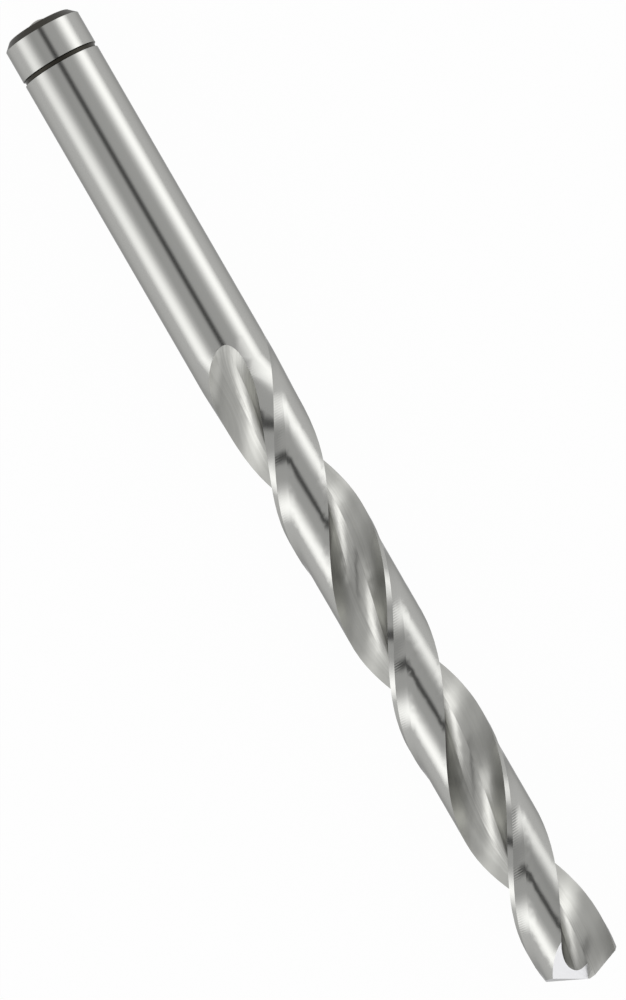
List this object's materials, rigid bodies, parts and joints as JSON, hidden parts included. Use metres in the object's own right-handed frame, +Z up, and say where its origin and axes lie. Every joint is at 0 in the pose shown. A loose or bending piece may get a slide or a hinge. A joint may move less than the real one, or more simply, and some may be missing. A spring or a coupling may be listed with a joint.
{
  "type": "twist drill bit",
  "caption": "Jobber-length twist drill bit with right-hand helical flutes, a split point, and a plain round shank with a ring groove and a chamfered end.",
  "frame": {"origin": "on the ground below the middle of the drill as it lies", "axes": "+X along the drill's axis towards the point, +Z up"},
  "size_m": [0.133, 0.01, 0.01],
  "materials": {
    "ground_steel": "bright ground high-speed steel, groove and end chamfer left black"
  },
  "bodies": {
    "root": {"twist_drill": "ground_steel"}
  },
  "joints": []
}
